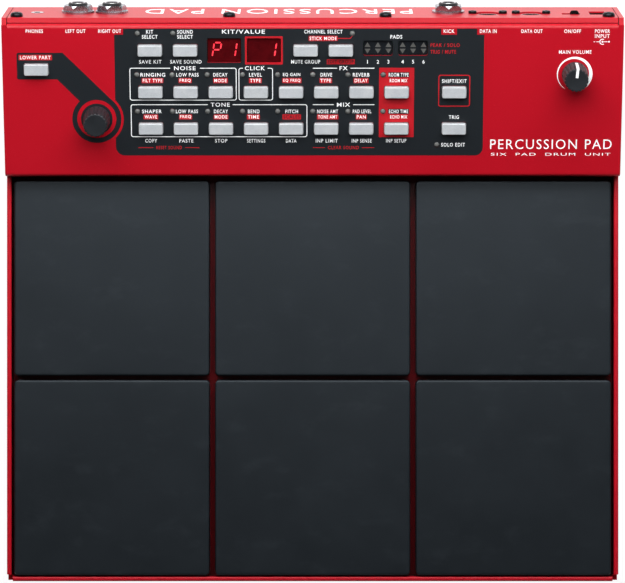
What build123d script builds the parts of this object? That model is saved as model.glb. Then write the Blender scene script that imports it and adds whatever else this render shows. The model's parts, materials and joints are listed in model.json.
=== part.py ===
from build123d import *

import os
from math import cos, radians, sin, tan

os.makedirs("parts", exist_ok=True)

# A table-top electronic percussion pad: six square rubber pads in a shallow steel tray, with a
# sloping control panel behind them and a connector wall along the back.
# Millimetres. +X is to the player's right, +Y away from the player and +Z up. The origin is on the
# table, under the centre of the whole object's box.

# ---------------------------------------------------------------- driving dimensions

overall_width = 345.0
foot_height = 10.0
foot_radius = 9.5
foot_taper = 3.0
foot_edge = 1.0
foot_inset = 24.0

tray_sheet = 1.35
wall_thickness = 2 * tray_sheet  # every wall is hemmed, so it is two sheets thick
bend_radius = 2.5
pad_wall_top = 23.6
corner_notch_width = 3.4
corner_notch_length = 3.9
seam_width = 0.4
hem_rounding = 0.4 * wall_thickness

panel_setback = 228.4  # from the front wall to the panel's front edge
panel_front_height = 34.8
panel_slope = radians(16.7)
panel_length = 86.2
cover_sheet = 1.5
cover_bend_front = 2.0
cover_bend_rear = 2.5
cover_edge_depth = 2.9
cover_gap = 0.1
cover_edge_rounding = 0.8
opening_corner = 0.6
tolerance = 0.01

ledge_setback = 315.2  # from the front wall to the top of the connector wall's outer face
rear_slope = radians(12.4)

pad_size = 110.0
pad_corner = 2.3
pad_pitch_x = 113.15
pad_pitch_y = 112.5
front_pad_setback = 58.5
foam_thickness = 3.0
plate_thickness = 1.5
rubber_thickness = 8.7
rubber_edge = 0.8
foam_size = 104.0
foam_hole_radius = 20.0
sensor_radius = 13.5
sensor_thickness = 1.0

button_width = 13.4
button_height = 6.3
button_proud = 3.0
button_clearance = 0.35
button_corner = 0.9
button_edge = 0.55
button_pitch = 19.56
first_column = -90.25
lower_row = 27.35
upper_row = 48.2
top_row = 71.9

board_thickness = 1.6
board_depth = 9.0  # from the panel's outer face to the control board
switch_size = 6.2
switch_height = 4.3
stem_radius = 1.7
stem_length_in_switch = 1.0
switch_well_radius = 2.0
switch_well_depth = 1.7

led_radius = 1.5
led_dome = 1.35
led_clearance = 0.1
led_collar = 0.4
led_collar_height = 3.0
led_proud = 0.8
led_offset = 7.5  # from the middle of a column to its light
lower_led_row = 37.0
upper_led_row = 57.9

knob_gap = 0.8
knob_height = 15.5
shaft_radius = 3.0
shaft_clearance = 0.05
flute_count = 18
flute_radius = 0.75
flute_offset = 0.2  # from the grip's surface out to the middle of a flute
crown_height = 1.0
crown_step = 0.4
crown_edge = 0.6

# heights up the connector wall, from its bottom corner
jack_height = 25.5
din_height = 29.5
dc_height = 28.0
power_height = 31.5
cover_screw_height = 42.3
flange_bottom_height = 38.2

jack_barrel_radius = 5.35
jack_proud = 5.6
jack_bore_radius = 3.25
phones_bore_radius = 1.8
phones_proud = 0.1

# ---------------------------------------------------------------- worked-out places and planes

half_width = overall_width / 2
panel_rear_height = panel_front_height + panel_length * sin(panel_slope)
panel_rear_setback = panel_setback + panel_length * cos(panel_slope)
cheek_drop = (cover_edge_depth + cover_gap) / cos(panel_slope)
ledge_height = panel_rear_height - cheek_drop
rear_corner_setback = ledge_setback + (ledge_height - foot_height) * tan(rear_slope)
jack_setback = rear_corner_setback - jack_height * sin(rear_slope)
overall_depth = jack_setback + jack_proud * cos(rear_slope) + jack_barrel_radius * sin(rear_slope)

front_y = -overall_depth / 2
panel_y = front_y + panel_setback
ledge_y = front_y + ledge_setback
rear_corner_y = front_y + rear_corner_setback
floor_top = foot_height + tray_sheet
inner_half_width = half_width - wall_thickness

panel_face = Plane(
    origin=(0, panel_y, panel_front_height),
    x_dir=(1, 0, 0),
    z_dir=(0, -sin(panel_slope), cos(panel_slope)),
)
panel_axis = Axis(panel_face.origin, panel_face.z_dir)

# The connector wall's outer face, seen from behind: local x runs towards -X, local y up the wall.
rear_face = Plane(
    origin=(0, rear_corner_y, foot_height),
    x_dir=(-1, 0, 0),
    z_dir=(0, cos(rear_slope), sin(rear_slope)),
)
rear_axis = Axis(rear_face.origin, rear_face.z_dir)


def wall_y(z, depth=0.0):
    """Y of the connector wall at a height, at a depth behind its outer face."""
    return rear_corner_y - (z - foot_height) * tan(rear_slope) - depth / cos(rear_slope)


def panel_z(y):
    """Height of the panel's outer face at a Y."""
    return panel_front_height + (y - panel_y) * tan(panel_slope)


pad_places = [
    (column * pad_pitch_x, front_y + front_pad_setback + row * pad_pitch_y)
    for row in (0, 1)
    for column in (-1, 0, 1)
]

# Control places on the panel, as (across, up the slope) from the middle of its front edge.
column_places = [first_column + button_pitch * column for column in range(8)]
upper_names = [
    "noise_resonance",
    "noise_filter",
    "noise_decay",
    "click_level",
    "equaliser",
    "distortion",
    "reverb_level",
    "reverb_type",
]
lower_names = [
    "tone_spectrum",
    "tone_filter",
    "tone_decay",
    "tone_bend",
    "tone_pitch",
    "noise_level",
    "channel_level",
    "delay_time",
]
button_places = {
    "lower_function": (-153.5, 61.05),
    "kit_select": (column_places[0], top_row),
    "sound_select": (column_places[1], top_row),
    "mute_group": (-3.9, top_row),
    "edit_group": (15.6, top_row),
    "shift": (78.75, upper_row),
    "trigger": (78.75, lower_row),
}
for column, name in enumerate(upper_names):
    button_places[name] = (column_places[column], upper_row)
for column, name in enumerate(lower_names):
    button_places[name] = (column_places[column], lower_row)

led_places = [(-97.1, 81.4), (-77.5, 81.4), (22.0, 81.4), (69.4, 17.9)]
for across in column_places:
    led_places.append((across - led_offset, upper_led_row))
    led_places.append((across - led_offset, lower_led_row))

display_places = [(-49.05, 71.8), (-27.05, 71.8)]
display_opening = (18.9, 13.8)
meter_places = [(36.2, 73.15), (55.7, 73.15)]
meter_opening = (16.4, 8.5)
meter_corner = 1.2
window_clearance = 0.3
encoder_place = (-120.4, 32.7)
volume_place = (145.6, 58.3)
shaft_hole_radius = 4.5
stud_places = [(-164.0, 10.0), (0.0, 10.0), (164.0, 10.0), (-164.0, 78.0), (-10.0, 61.0), (164.0, 78.0)]
stud_radius = 2.5

# Connector places across the connector wall, in X.
line_jack_places = [-131.5, -112.5, 76.0]
phones_place = -154.3
din_places = [97.9, 122.1]
din_screw_offsets = [(-8.5, 0), (8.5, 0)]
din_screw_radius = 1.2
power_slot_middle = 144.25
power_slot_size = (10.1, 5.2)
slider_rest = 146.3
dc_place = 159.2
cover_screw_places = [-164.5, -46.4, 40.5, 164.5]
cover_screw_radius = 1.5


def on_wall(places, height):
    """Local points on the connector wall for places given in X."""
    return [(-place, height) for place in places]


# ---------------------------------------------------------------- base tray

cheek_front_z = panel_z(panel_y) - cheek_drop
ledge_front_y = front_y + panel_rear_setback
hole_clearance = 0.2
phones_barrel_radius = 3.6
din_hole = 7.25
dc_opening = (8.9, 12.6)
above_everything = 80.0

with BuildPart() as base_tray:
    with BuildSketch(Plane.YZ):
        with BuildLine():
            Polyline(
                (front_y, foot_height),
                (front_y, pad_wall_top),
                (panel_y, pad_wall_top),
                (panel_y, cheek_front_z),
                (ledge_front_y, ledge_height),
                (ledge_y, ledge_height),
                (rear_corner_y, foot_height),
                close=True,
            )
        make_face()
    extrude(amount=half_width, both=True)
    fillet(base_tray.faces().sort_by(Axis.Z)[0].edges(), radius=bend_radius)
    with BuildSketch(Plane.YZ):
        with BuildLine():
            Polyline(
                (front_y + wall_thickness, floor_top),
                (front_y + wall_thickness, above_everything),
                (wall_y(above_everything, wall_thickness), above_everything),
                (wall_y(floor_top, wall_thickness), floor_top),
                close=True,
            )
        make_face()
    extrude(amount=inner_half_width, both=True, mode=Mode.SUBTRACT)
    # relief notches at the two front corners, above the bend
    notch_bottom = floor_top + bend_radius
    with Locations(
        (half_width - corner_notch_width / 2, front_y + corner_notch_length / 2, notch_bottom),
        (corner_notch_width / 2 - half_width, front_y + corner_notch_length / 2, notch_bottom),
    ):
        Box(
            corner_notch_width,
            corner_notch_length,
            pad_wall_top,
            align=(Align.CENTER, Align.CENTER, Align.MIN),
            mode=Mode.SUBTRACT,
        )
    # seams between the connector wall and the two cheeks
    with BuildSketch(rear_face):
        with Locations(
            (inner_half_width - seam_width / 2, bend_radius * 2),
            (seam_width / 2 - inner_half_width, bend_radius * 2),
        ):
            Rectangle(seam_width, above_everything, align=(Align.CENTER, Align.MIN))
    extrude(amount=-wall_thickness, mode=Mode.SUBTRACT)
    # openings for the connectors, the power slider and the screws
    with BuildSketch(rear_face):
        with Locations(*on_wall(line_jack_places, jack_height)):
            Circle(jack_barrel_radius + hole_clearance)
        with Locations(*on_wall([phones_place], jack_height)):
            Circle(phones_barrel_radius + hole_clearance)
        with Locations(*on_wall(din_places, din_height)):
            Circle(din_hole)
            with Locations(*din_screw_offsets):
                Circle(din_screw_radius + hole_clearance)
        with Locations(*on_wall([power_slot_middle], power_height)):
            RectangleRounded(*power_slot_size, radius=opening_corner)
        with Locations(*on_wall([dc_place], dc_height)):
            RectangleRounded(*dc_opening, radius=opening_corner)
        with Locations(*on_wall(cover_screw_places, cover_screw_height)):
            Circle(cover_screw_radius + hole_clearance)
    extrude(amount=-wall_thickness, mode=Mode.SUBTRACT)
    # the hems are round along the top of the walls beside the pads
    hem_edges = (
        base_tray.edges()
        .filter_by_position(Axis.Z, pad_wall_top - tolerance, pad_wall_top + tolerance)
        .filter_by(lambda edge: edge.length > pad_size)
    )
    fillet(hem_edges, radius=hem_rounding)
base_tray.part.label = "base_tray"
export_step(base_tray.part, "parts/base_tray.step")

# ---------------------------------------------------------------- rubber feet

with BuildPart() as rubber_feet:
    foot_x = half_width - foot_inset
    foot_front = front_y + foot_inset
    foot_rear = front_y + panel_rear_setback - foot_inset / 2
    foot_places = [(side * foot_x, y) for side in (-1, 1) for y in (foot_front, foot_rear)]
    with BuildSketch(Plane.XY):
        with Locations(*foot_places):
            Circle(foot_radius)
    extrude(amount=foot_height, taper=-foot_taper)
    fillet(rubber_feet.edges().group_by(Axis.Z)[0], radius=foot_edge)
rubber_feet.part.label = "rubber_feet"
export_step(rubber_feet.part, "parts/rubber_feet.step")

# ---------------------------------------------------------------- top cover with the control panel

flange_gap = 0.4  # between the cover's rear flange and the connector wall
flange_side_gap = 0.5
flange_half_width = inner_half_width - flange_side_gap
flange_bottom_z = foot_height + flange_bottom_height * cos(rear_slope)
front_flange_gap = 0.6
front_flange_z = floor_top + front_flange_gap
flange_depth = wall_thickness + flange_gap
cover_corner_y = (
    wall_y(panel_front_height, flange_depth) + panel_y * tan(panel_slope) * tan(rear_slope)
) / (1 + tan(panel_slope) * tan(rear_slope))
edge_drop = cover_edge_depth / cos(panel_slope)

with BuildPart() as top_cover:
    # the folded sheet: front flange, panel and rear flange
    with BuildSketch(Plane.YZ):
        with BuildLine():
            FilletPolyline(
                (panel_y, front_flange_z),
                (panel_y, panel_front_height),
                (cover_corner_y, panel_z(cover_corner_y)),
                (wall_y(flange_bottom_z, flange_depth), flange_bottom_z),
                radius=[cover_bend_front, cover_bend_rear],
            )
            offset(amount=cover_sheet, side=Side.RIGHT)
        make_face()
    extrude(amount=flange_half_width, both=True)
    # the folded edges along both sides, which rest above the cheeks
    for side in (-1, 1):
        with BuildSketch(Plane.YZ.offset(side * flange_half_width)) as edge_fold:
            with BuildLine():
                Polyline(
                    (panel_y, panel_front_height),
                    (ledge_front_y, panel_rear_height),
                    (ledge_front_y, panel_rear_height - edge_drop),
                    (panel_y, panel_front_height - edge_drop),
                    close=True,
                )
            make_face()
            fillet(edge_fold.vertices().sort_by(Axis.X)[0:2].sort_by(Axis.Y)[-1], cover_bend_front)
        extrude(amount=side * (half_width - flange_half_width))
    fold_edges = top_cover.edges().filter_by_position(
        Axis.X, half_width - tolerance, half_width
    ) + top_cover.edges().filter_by_position(Axis.X, -half_width, tolerance - half_width)
    fillet(fold_edges.group_by(panel_axis)[-1], radius=cover_edge_rounding)
    # openings in the panel
    with BuildSketch(panel_face):
        with Locations(*button_places.values()):
            RectangleRounded(
                button_width + 2 * button_clearance,
                button_height + 2 * button_clearance,
                radius=button_corner + button_clearance,
            )
        with Locations(*led_places):
            Circle(led_radius + led_clearance)
        with Locations(*display_places):
            RectangleRounded(*display_opening, radius=opening_corner)
        with Locations(*meter_places):
            RectangleRounded(*meter_opening, radius=meter_corner)
        with Locations(encoder_place, volume_place):
            Circle(shaft_hole_radius)
    extrude(amount=-cover_sheet, mode=Mode.SUBTRACT)
    # screw holes in the rear flange
    with BuildSketch(rear_face.offset(-wall_thickness)):
        with Locations(*on_wall(cover_screw_places, cover_screw_height)):
            Circle(cover_screw_radius + hole_clearance)
    extrude(amount=-(flange_gap + cover_sheet), mode=Mode.SUBTRACT)
    # welded studs that carry the control board
    with BuildSketch(panel_face.offset(-board_depth)):
        with Locations(*stud_places):
            Circle(stud_radius)
    extrude(amount=board_depth - cover_sheet)
top_cover.part.label = "top_cover"
export_step(top_cover.part, "parts/top_cover.step")

# ---------------------------------------------------------------- pads

plate_bottom = floor_top + foam_thickness
rubber_bottom = plate_bottom + plate_thickness

for number, place in enumerate(pad_places, start=1):
    with BuildPart() as pad_plate:
        with BuildSketch(Plane.XY.offset(plate_bottom)):
            with Locations(place):
                RectangleRounded(pad_size, pad_size, radius=pad_corner)
        extrude(amount=plate_thickness)
    pad_plate.part.label = f"pad_{number}_plate"
    export_step(pad_plate.part, f"parts/pad_{number}_plate.step")

    with BuildPart() as pad_skin:
        with BuildSketch(Plane.XY.offset(rubber_bottom)):
            with Locations(place):
                RectangleRounded(pad_size, pad_size, radius=pad_corner)
        extrude(amount=rubber_thickness)
        fillet(pad_skin.edges().group_by(Axis.Z)[-1], radius=rubber_edge)
    pad_skin.part.label = f"pad_{number}_skin"
    export_step(pad_skin.part, f"parts/pad_{number}_skin.step")

with BuildPart() as pad_foam:
    with BuildSketch(Plane.XY.offset(floor_top)):
        with Locations(*pad_places):
            Rectangle(foam_size, foam_size)
            Circle(foam_hole_radius, mode=Mode.SUBTRACT)
    extrude(amount=foam_thickness)
pad_foam.part.label = "pad_foam"
export_step(pad_foam.part, "parts/pad_foam.step")

with BuildPart() as pad_sensors:
    with BuildSketch(Plane.XY.offset(floor_top)):
        with Locations(*pad_places):
            Circle(sensor_radius)
    extrude(amount=sensor_thickness)
pad_sensors.part.label = "pad_sensors"
export_step(pad_sensors.part, "parts/pad_sensors.step")

# ---------------------------------------------------------------- buttons

cap_flange = 0.8  # how far the flange under the panel reaches past the cap
cap_flange_thickness = 1.1
cap_flange_corner = 1.0
cap_flange_gap = 0.1
cap_flange_top = -cover_sheet - cap_flange_gap
stem_bottom = switch_height - board_depth - stem_length_in_switch

for name, place in button_places.items():
    with BuildPart() as button:
        with BuildSketch(panel_face.offset(cap_flange_top - cap_flange_thickness)):
            with Locations(place):
                RectangleRounded(
                    button_width + 2 * cap_flange,
                    button_height + 2 * cap_flange,
                    radius=cap_flange_corner,
                )
        extrude(amount=cap_flange_thickness)
        with BuildSketch(panel_face.offset(cap_flange_top)):
            with Locations(place):
                RectangleRounded(button_width, button_height, radius=button_corner)
        extrude(amount=button_proud - cap_flange_top)
        fillet(button.faces().sort_by(panel_axis)[-1].edges(), radius=button_edge)
        with BuildSketch(panel_face.offset(stem_bottom)):
            with Locations(place):
                Circle(stem_radius)
        extrude(amount=cap_flange_top - cap_flange_thickness - stem_bottom)
    button.part.label = f"button_{name}"
    export_step(button.part, f"parts/button_{name}.step")

# ---------------------------------------------------------------- control board and what stands on it

control_board_size = (332.0, 77.0)
control_board_middle = (0.0, 45.0)
control_board_corner = 2.0
processor_size = (20.0, 20.0)
processor_places = [(10.0, 24.0)]
memory_size = (12.0, 18.0)
memory_places = [(-25.0, 24.0), (38.0, 24.0)]
converter_size = (9.0, 7.0)
converter_places = [(-95.0, 26.0), (95.0, 26.0)]
chip_thickness = 1.4

with BuildPart() as control_board:
    with BuildSketch(panel_face.offset(-board_depth - board_thickness)):
        with Locations(control_board_middle):
            RectangleRounded(*control_board_size, radius=control_board_corner)
    extrude(amount=board_thickness)
    with BuildSketch(panel_face.offset(-board_depth - board_thickness)):
        with Locations(*processor_places):
            Rectangle(*processor_size)
        with Locations(*memory_places):
            Rectangle(*memory_size)
        with Locations(*converter_places):
            Rectangle(*converter_size)
    extrude(amount=-chip_thickness)
control_board.part.label = "control_board"
export_step(control_board.part, "parts/control_board.step")

with BuildPart() as tact_switches:
    with BuildSketch(panel_face.offset(-board_depth)):
        with Locations(*button_places.values()):
            Rectangle(switch_size, switch_size)
    extrude(amount=switch_height)
    with BuildSketch(panel_face.offset(switch_height - board_depth)):
        with Locations(*button_places.values()):
            Circle(switch_well_radius)
    extrude(amount=-switch_well_depth, mode=Mode.SUBTRACT)
tact_switches.part.label = "tact_switches"
export_step(tact_switches.part, "parts/tact_switches.step")

with BuildPart() as status_leds:
    with BuildSketch(panel_face.offset(-board_depth)):
        with Locations(*led_places):
            Circle(led_radius)
    extrude(amount=board_depth + led_proud)
    fillet(status_leds.edges().group_by(panel_axis)[-1], radius=led_dome)
    with BuildSketch(panel_face.offset(-board_depth)):
        with Locations(*led_places):
            Circle(led_radius + led_collar)
    extrude(amount=led_collar_height)
status_leds.part.label = "status_leds"
export_step(status_leds.part, "parts/status_leds.step")

display_recess = 0.9
with BuildPart() as value_displays:
    with BuildSketch(panel_face.offset(-board_depth)):
        with Locations(*display_places):
            Rectangle(display_opening[0] - 2 * window_clearance, display_opening[1] - 2 * window_clearance)
    extrude(amount=board_depth - display_recess)
value_displays.part.label = "value_displays"
export_step(value_displays.part, "parts/value_displays.step")

with BuildPart() as level_meters:
    with BuildSketch(panel_face.offset(-board_depth)):
        with Locations(*meter_places):
            RectangleRounded(
                meter_opening[0] - 2 * window_clearance,
                meter_opening[1] - 2 * window_clearance,
                radius=meter_corner - window_clearance,
            )
    extrude(amount=board_depth - display_recess)
level_meters.part.label = "level_meters"
export_step(level_meters.part, "parts/level_meters.step")

# ---------------------------------------------------------------- rotary controls and their knobs

rotary_body_size = 12.4
rotary_body_corner = 0.6
rotary_body_height = 5.5
bushing_radius = 4.2
bushing_top = -0.3
shaft_lift = 1.0  # from the control board to the floor of the shaft's bearing
shaft_bottom = shaft_lift - board_depth
shaft_top = 11.5

with BuildPart() as rotary_bodies:
    with BuildSketch(panel_face.offset(-board_depth)):
        with Locations(encoder_place, volume_place):
            RectangleRounded(rotary_body_size, rotary_body_size, radius=rotary_body_corner)
    extrude(amount=rotary_body_height)
    with BuildSketch(panel_face.offset(rotary_body_height - board_depth)):
        with Locations(encoder_place, volume_place):
            Circle(bushing_radius)
    extrude(amount=board_depth + bushing_top - rotary_body_height)
    with BuildSketch(panel_face.offset(shaft_bottom)):
        with Locations(encoder_place, volume_place):
            Circle(shaft_radius + shaft_clearance)
    extrude(amount=bushing_top - shaft_bottom, mode=Mode.SUBTRACT)
rotary_bodies.part.label = "rotary_bodies"
export_step(rotary_bodies.part, "parts/rotary_bodies.step")

knobs = {
    "encoder": (encoder_place, 7.6, 6.6),
    "volume": (volume_place, 7.2, 6.5),
}
for name, (place, bottom_radius, top_radius) in knobs.items():
    with BuildPart() as shaft:
        with BuildSketch(panel_face.offset(shaft_bottom + shaft_clearance)):
            with Locations(place):
                Circle(shaft_radius)
        extrude(amount=shaft_top - shaft_bottom - shaft_clearance)
    shaft.part.label = f"{name}_shaft"
    export_step(shaft.part, f"parts/{name}_shaft.step")

    cap_bottom = knob_height - crown_height
    with BuildPart() as knob:
        # the fluted, tapering grip
        for height, radius in ((knob_gap, bottom_radius), (cap_bottom, top_radius)):
            with BuildSketch(panel_face.offset(height)):
                with Locations(place):
                    Circle(radius)
                    with PolarLocations(radius + flute_offset, flute_count):
                        Circle(flute_radius, mode=Mode.SUBTRACT)
        loft(ruled=True)
        # the plain crown
        with BuildSketch(panel_face.offset(cap_bottom)):
            with Locations(place):
                Circle(top_radius - crown_step)
        extrude(amount=crown_height)
        fillet(knob.faces().sort_by(panel_axis)[-1].edges(), radius=crown_edge)
        # the hole for the shaft
        with BuildSketch(panel_face.offset(knob_gap)):
            with Locations(place):
                Circle(shaft_radius + shaft_clearance)
        extrude(amount=shaft_top + shaft_clearance - knob_gap, mode=Mode.SUBTRACT)
    knob.part.label = f"{name}_knob"
    export_step(knob.part, f"parts/{name}_knob.step")

# ---------------------------------------------------------------- connector board

socket_base = 16.6  # height up the connector wall of the board's upper face
inside = wall_thickness  # depth of the connector wall's inner face
board_gap = 1.0
board_reach = 46.0
board_middle_x = 1.5
board_span = 329.0

with BuildPart() as connector_board:
    with BuildSketch(rear_face.offset(-inside - board_gap)):
        with Locations((-board_middle_x, socket_base)):
            Rectangle(board_span, board_thickness, align=(Align.CENTER, Align.MAX))
    extrude(amount=-board_reach)
connector_board.part.label = "connector_board"
export_step(connector_board.part, "parts/connector_board.step")


def sit_on_board(places, width, top):
    """Sketches socket bodies that stand on the connector board, up to a height on the connector wall."""
    with Locations(*on_wall(places, socket_base)):
        Rectangle(width, top - socket_base, align=(Align.CENTER, Align.MIN))


# ---------------------------------------------------------------- 6.35 mm jacks

jack_body_width = 15.0
jack_body_top = 33.5
jack_body_depth = 30.0
jack_bore_end = 27.0
barrel_edge = 0.5
washer_radius = 9.1
washer_thickness = 1.1
nut_across_flats = 14.5
nut_thickness = 3.2
nut_turns = [15.0, 15.0, 0.0]  # how far each nut is turned from standing on a corner
nut_end_radius = 7.5  # the corners are turned down to this at the outer end
nut_end_angle = 30.0
nut_clearance = 0.1

with BuildPart() as line_jacks:
    with BuildSketch(rear_face.offset(-inside)):
        sit_on_board(line_jack_places, jack_body_width, jack_body_top)
    extrude(amount=-jack_body_depth)
    with BuildSketch(rear_face.offset(-inside)):
        with Locations(*on_wall(line_jack_places, jack_height)):
            Circle(jack_barrel_radius)
    extrude(amount=inside + jack_proud)
    chamfer(line_jacks.edges().group_by(rear_axis)[-1], length=barrel_edge)
    with BuildSketch(rear_face.offset(jack_proud)):
        with Locations(*on_wall(line_jack_places, jack_height)):
            Circle(jack_bore_radius)
    extrude(amount=-(jack_proud + inside + jack_bore_end), mode=Mode.SUBTRACT)
line_jacks.part.label = "line_jacks"
export_step(line_jacks.part, "parts/line_jacks.step")

with BuildPart() as jack_washers:
    with BuildSketch(rear_face):
        with Locations(*on_wall(line_jack_places, jack_height)):
            Circle(washer_radius)
            Circle(jack_barrel_radius + nut_clearance, mode=Mode.SUBTRACT)
    extrude(amount=washer_thickness)

with BuildPart() as jack_nuts:
    with BuildSketch(rear_face.offset(washer_thickness)):
        for place, turn in zip(on_wall(line_jack_places, jack_height), nut_turns):
            with Locations(Location(place, -90 - turn)):
                RegularPolygon(radius=nut_across_flats / 2, side_count=6, major_radius=False)
    extrude(amount=nut_thickness)
    with BuildSketch(rear_face.offset(washer_thickness)):
        with Locations(*on_wall(line_jack_places, jack_height)):
            Circle(nut_end_radius + nut_thickness * tan(radians(nut_end_angle)))
    extrude(amount=nut_thickness, taper=nut_end_angle, mode=Mode.INTERSECT)
    with BuildSketch(rear_face.offset(washer_thickness)):
        with Locations(*on_wall(line_jack_places, jack_height)):
            Circle(jack_barrel_radius + nut_clearance)
    extrude(amount=nut_thickness, mode=Mode.SUBTRACT)

# the three washers and the three nuts are kept together as one set of fasteners
jack_fasteners = Compound(children=jack_washers.part.solids() + jack_nuts.part.solids())
jack_fasteners.label = "jack_nuts"
export_step(jack_fasteners, "parts/jack_nuts.step")

# ---------------------------------------------------------------- 3.5 mm headphone jack

phones_body_width = 11.0
phones_body_top = 32.1
phones_body_depth = 14.0
phones_bore_end = 13.3

with BuildPart() as phones_jack:
    with BuildSketch(rear_face.offset(-inside)):
        sit_on_board([phones_place], phones_body_width, phones_body_top)
    extrude(amount=-phones_body_depth)
    with BuildSketch(rear_face.offset(-inside)):
        with Locations(*on_wall([phones_place], jack_height)):
            Circle(phones_barrel_radius)
    extrude(amount=inside + phones_proud)
    with BuildSketch(rear_face.offset(phones_proud)):
        with Locations(*on_wall([phones_place], jack_height)):
            Circle(phones_bore_radius)
    extrude(amount=-(phones_proud + inside + phones_bore_end), mode=Mode.SUBTRACT)
phones_jack.part.label = "phones_jack"
export_step(phones_jack.part, "parts/phones_jack.step")

# ---------------------------------------------------------------- round five-pin sockets

din_screw_head_radius = 2.3
din_screw_head_height = 1.6
din_screw_dome = 0.6
din_screw_length = 5.0  # behind the connector wall
din_screw_spare = 1.0  # how much deeper its threaded hole is
din_thread_clearance = 0.05
din_hex_radius = 0.75
din_hex_depth = 0.9
din_body_width = 23.0
din_body_top = 37.6
din_body_depth = 13.0
din_recess = 1.2
din_shell_radius = 6.95
din_well_radius = 6.3
din_well_depth = 8.0
din_core_radius = 5.4
din_pin_circle = 3.4
din_pin_radius = 0.75
din_pin_depth = 6.0
din_fit = 0.02

with BuildPart() as din_bodies:
    with BuildSketch(rear_face.offset(-inside)):
        sit_on_board(din_places, din_body_width, din_body_top)
    extrude(amount=-din_body_depth)
    with BuildSketch(rear_face.offset(-inside)):
        with Locations(*on_wall(din_places, din_height)):
            Circle(din_shell_radius)
    extrude(amount=inside - din_recess)
    with BuildSketch(rear_face.offset(-din_recess)):
        with Locations(*on_wall(din_places, din_height)):
            Circle(din_well_radius)
    extrude(amount=-din_well_depth, mode=Mode.SUBTRACT)
    with BuildSketch(rear_face.offset(-inside)):
        with Locations(*on_wall(din_places, din_height)):
            with Locations(*din_screw_offsets):
                Circle(din_screw_radius + din_thread_clearance)
    extrude(amount=-(din_screw_length + din_screw_spare), mode=Mode.SUBTRACT)

with BuildPart() as din_cores:
    with BuildSketch(rear_face.offset(-din_recess - din_well_depth + din_fit)):
        with Locations(*on_wall(din_places, din_height)):
            Circle(din_core_radius)
    extrude(amount=din_well_depth - din_fit)
    with BuildSketch(rear_face.offset(-din_recess)):
        with Locations(*on_wall(din_places, din_height)):
            with PolarLocations(din_pin_circle, 5, start_angle=0, angular_range=180, endpoint=True):
                Circle(din_pin_radius)
    extrude(amount=-din_pin_depth, mode=Mode.SUBTRACT)

# each socket is a body with an insulating core that stands in its well
din_sockets = Compound(children=din_bodies.part.solids() + din_cores.part.solids())
din_sockets.label = "din_sockets"
export_step(din_sockets, "parts/din_sockets.step")

with BuildPart() as din_screws:
    with BuildSketch(rear_face):
        with Locations(*on_wall(din_places, din_height)):
            with Locations(*din_screw_offsets):
                Circle(din_screw_head_radius)
    extrude(amount=din_screw_head_height)
    fillet(din_screws.edges().group_by(rear_axis)[-1], radius=din_screw_dome)
    with BuildSketch(rear_face.offset(din_screw_head_height)):
        with Locations(*on_wall(din_places, din_height)):
            with Locations(*din_screw_offsets):
                RegularPolygon(radius=din_hex_radius, side_count=6, major_radius=False)
    extrude(amount=-din_hex_depth, mode=Mode.SUBTRACT)
    with BuildSketch(rear_face):
        with Locations(*on_wall(din_places, din_height)):
            with Locations(*din_screw_offsets):
                Circle(din_screw_radius)
    extrude(amount=-(inside + din_screw_length))
din_screws.part.label = "din_screws"
export_step(din_screws.part, "parts/din_screws.step")

# ---------------------------------------------------------------- power socket

dc_body_width = 10.4
dc_body_top = 35.6
dc_body_depth = 12.0
dc_recess = 0.8
dc_bore_radius = 3.1
dc_pin_radius = 1.0
dc_pin_cut = 1.1
dc_pin_setback = 1.4  # from the mouth to the pin's tip
dc_bore_end = 12.0

with BuildPart() as dc_socket:
    with BuildSketch(rear_face.offset(-inside)):
        sit_on_board([dc_place], dc_body_width, dc_body_top)
    extrude(amount=-dc_body_depth)
    with BuildSketch(rear_face.offset(-inside)):
        with Locations(*on_wall([dc_place], dc_height)):
            RectangleRounded(
                dc_opening[0] - 2 * window_clearance,
                dc_opening[1] - 2 * window_clearance,
                radius=opening_corner - window_clearance,
            )
    extrude(amount=inside - dc_recess)
    with BuildSketch(rear_face.offset(-dc_recess)):
        with Locations(*on_wall([dc_place], dc_height)):
            Circle(dc_bore_radius)
            Circle(dc_pin_radius, mode=Mode.SUBTRACT)
    extrude(amount=-dc_bore_end, mode=Mode.SUBTRACT)
    with BuildSketch(rear_face.offset(-dc_recess)):
        with Locations(*on_wall([dc_place], dc_height)):
            Circle(dc_pin_cut)
    extrude(amount=-dc_pin_setback, mode=Mode.SUBTRACT)
dc_socket.part.label = "dc_socket"
export_step(dc_socket.part, "parts/dc_socket.step")

# ---------------------------------------------------------------- power switch

switch_body_width = 15.0
switch_body_top = 36.4
switch_body_depth = 8.0
switch_cavity_size = (12.0, 7.0)
switch_cavity_depth = 2.4
slider_base_size = (5.8, 6.2)
slider_base_thickness = 1.4
slider_base_depth = 0.5  # from the wall's inner face to the slider's base
slider_grip_size = (4.8, 4.4)
slider_edge = 0.5
slider_proud = 1.9

with BuildPart() as power_switch:
    with BuildSketch(rear_face.offset(-inside)):
        sit_on_board([power_slot_middle], switch_body_width, switch_body_top)
    extrude(amount=-switch_body_depth)
    with BuildSketch(rear_face.offset(-inside)):
        with Locations(*on_wall([power_slot_middle], power_height)):
            Rectangle(*switch_cavity_size)
    extrude(amount=-switch_cavity_depth, mode=Mode.SUBTRACT)
power_switch.part.label = "power_switch"
export_step(power_switch.part, "parts/power_switch.step")

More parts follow.
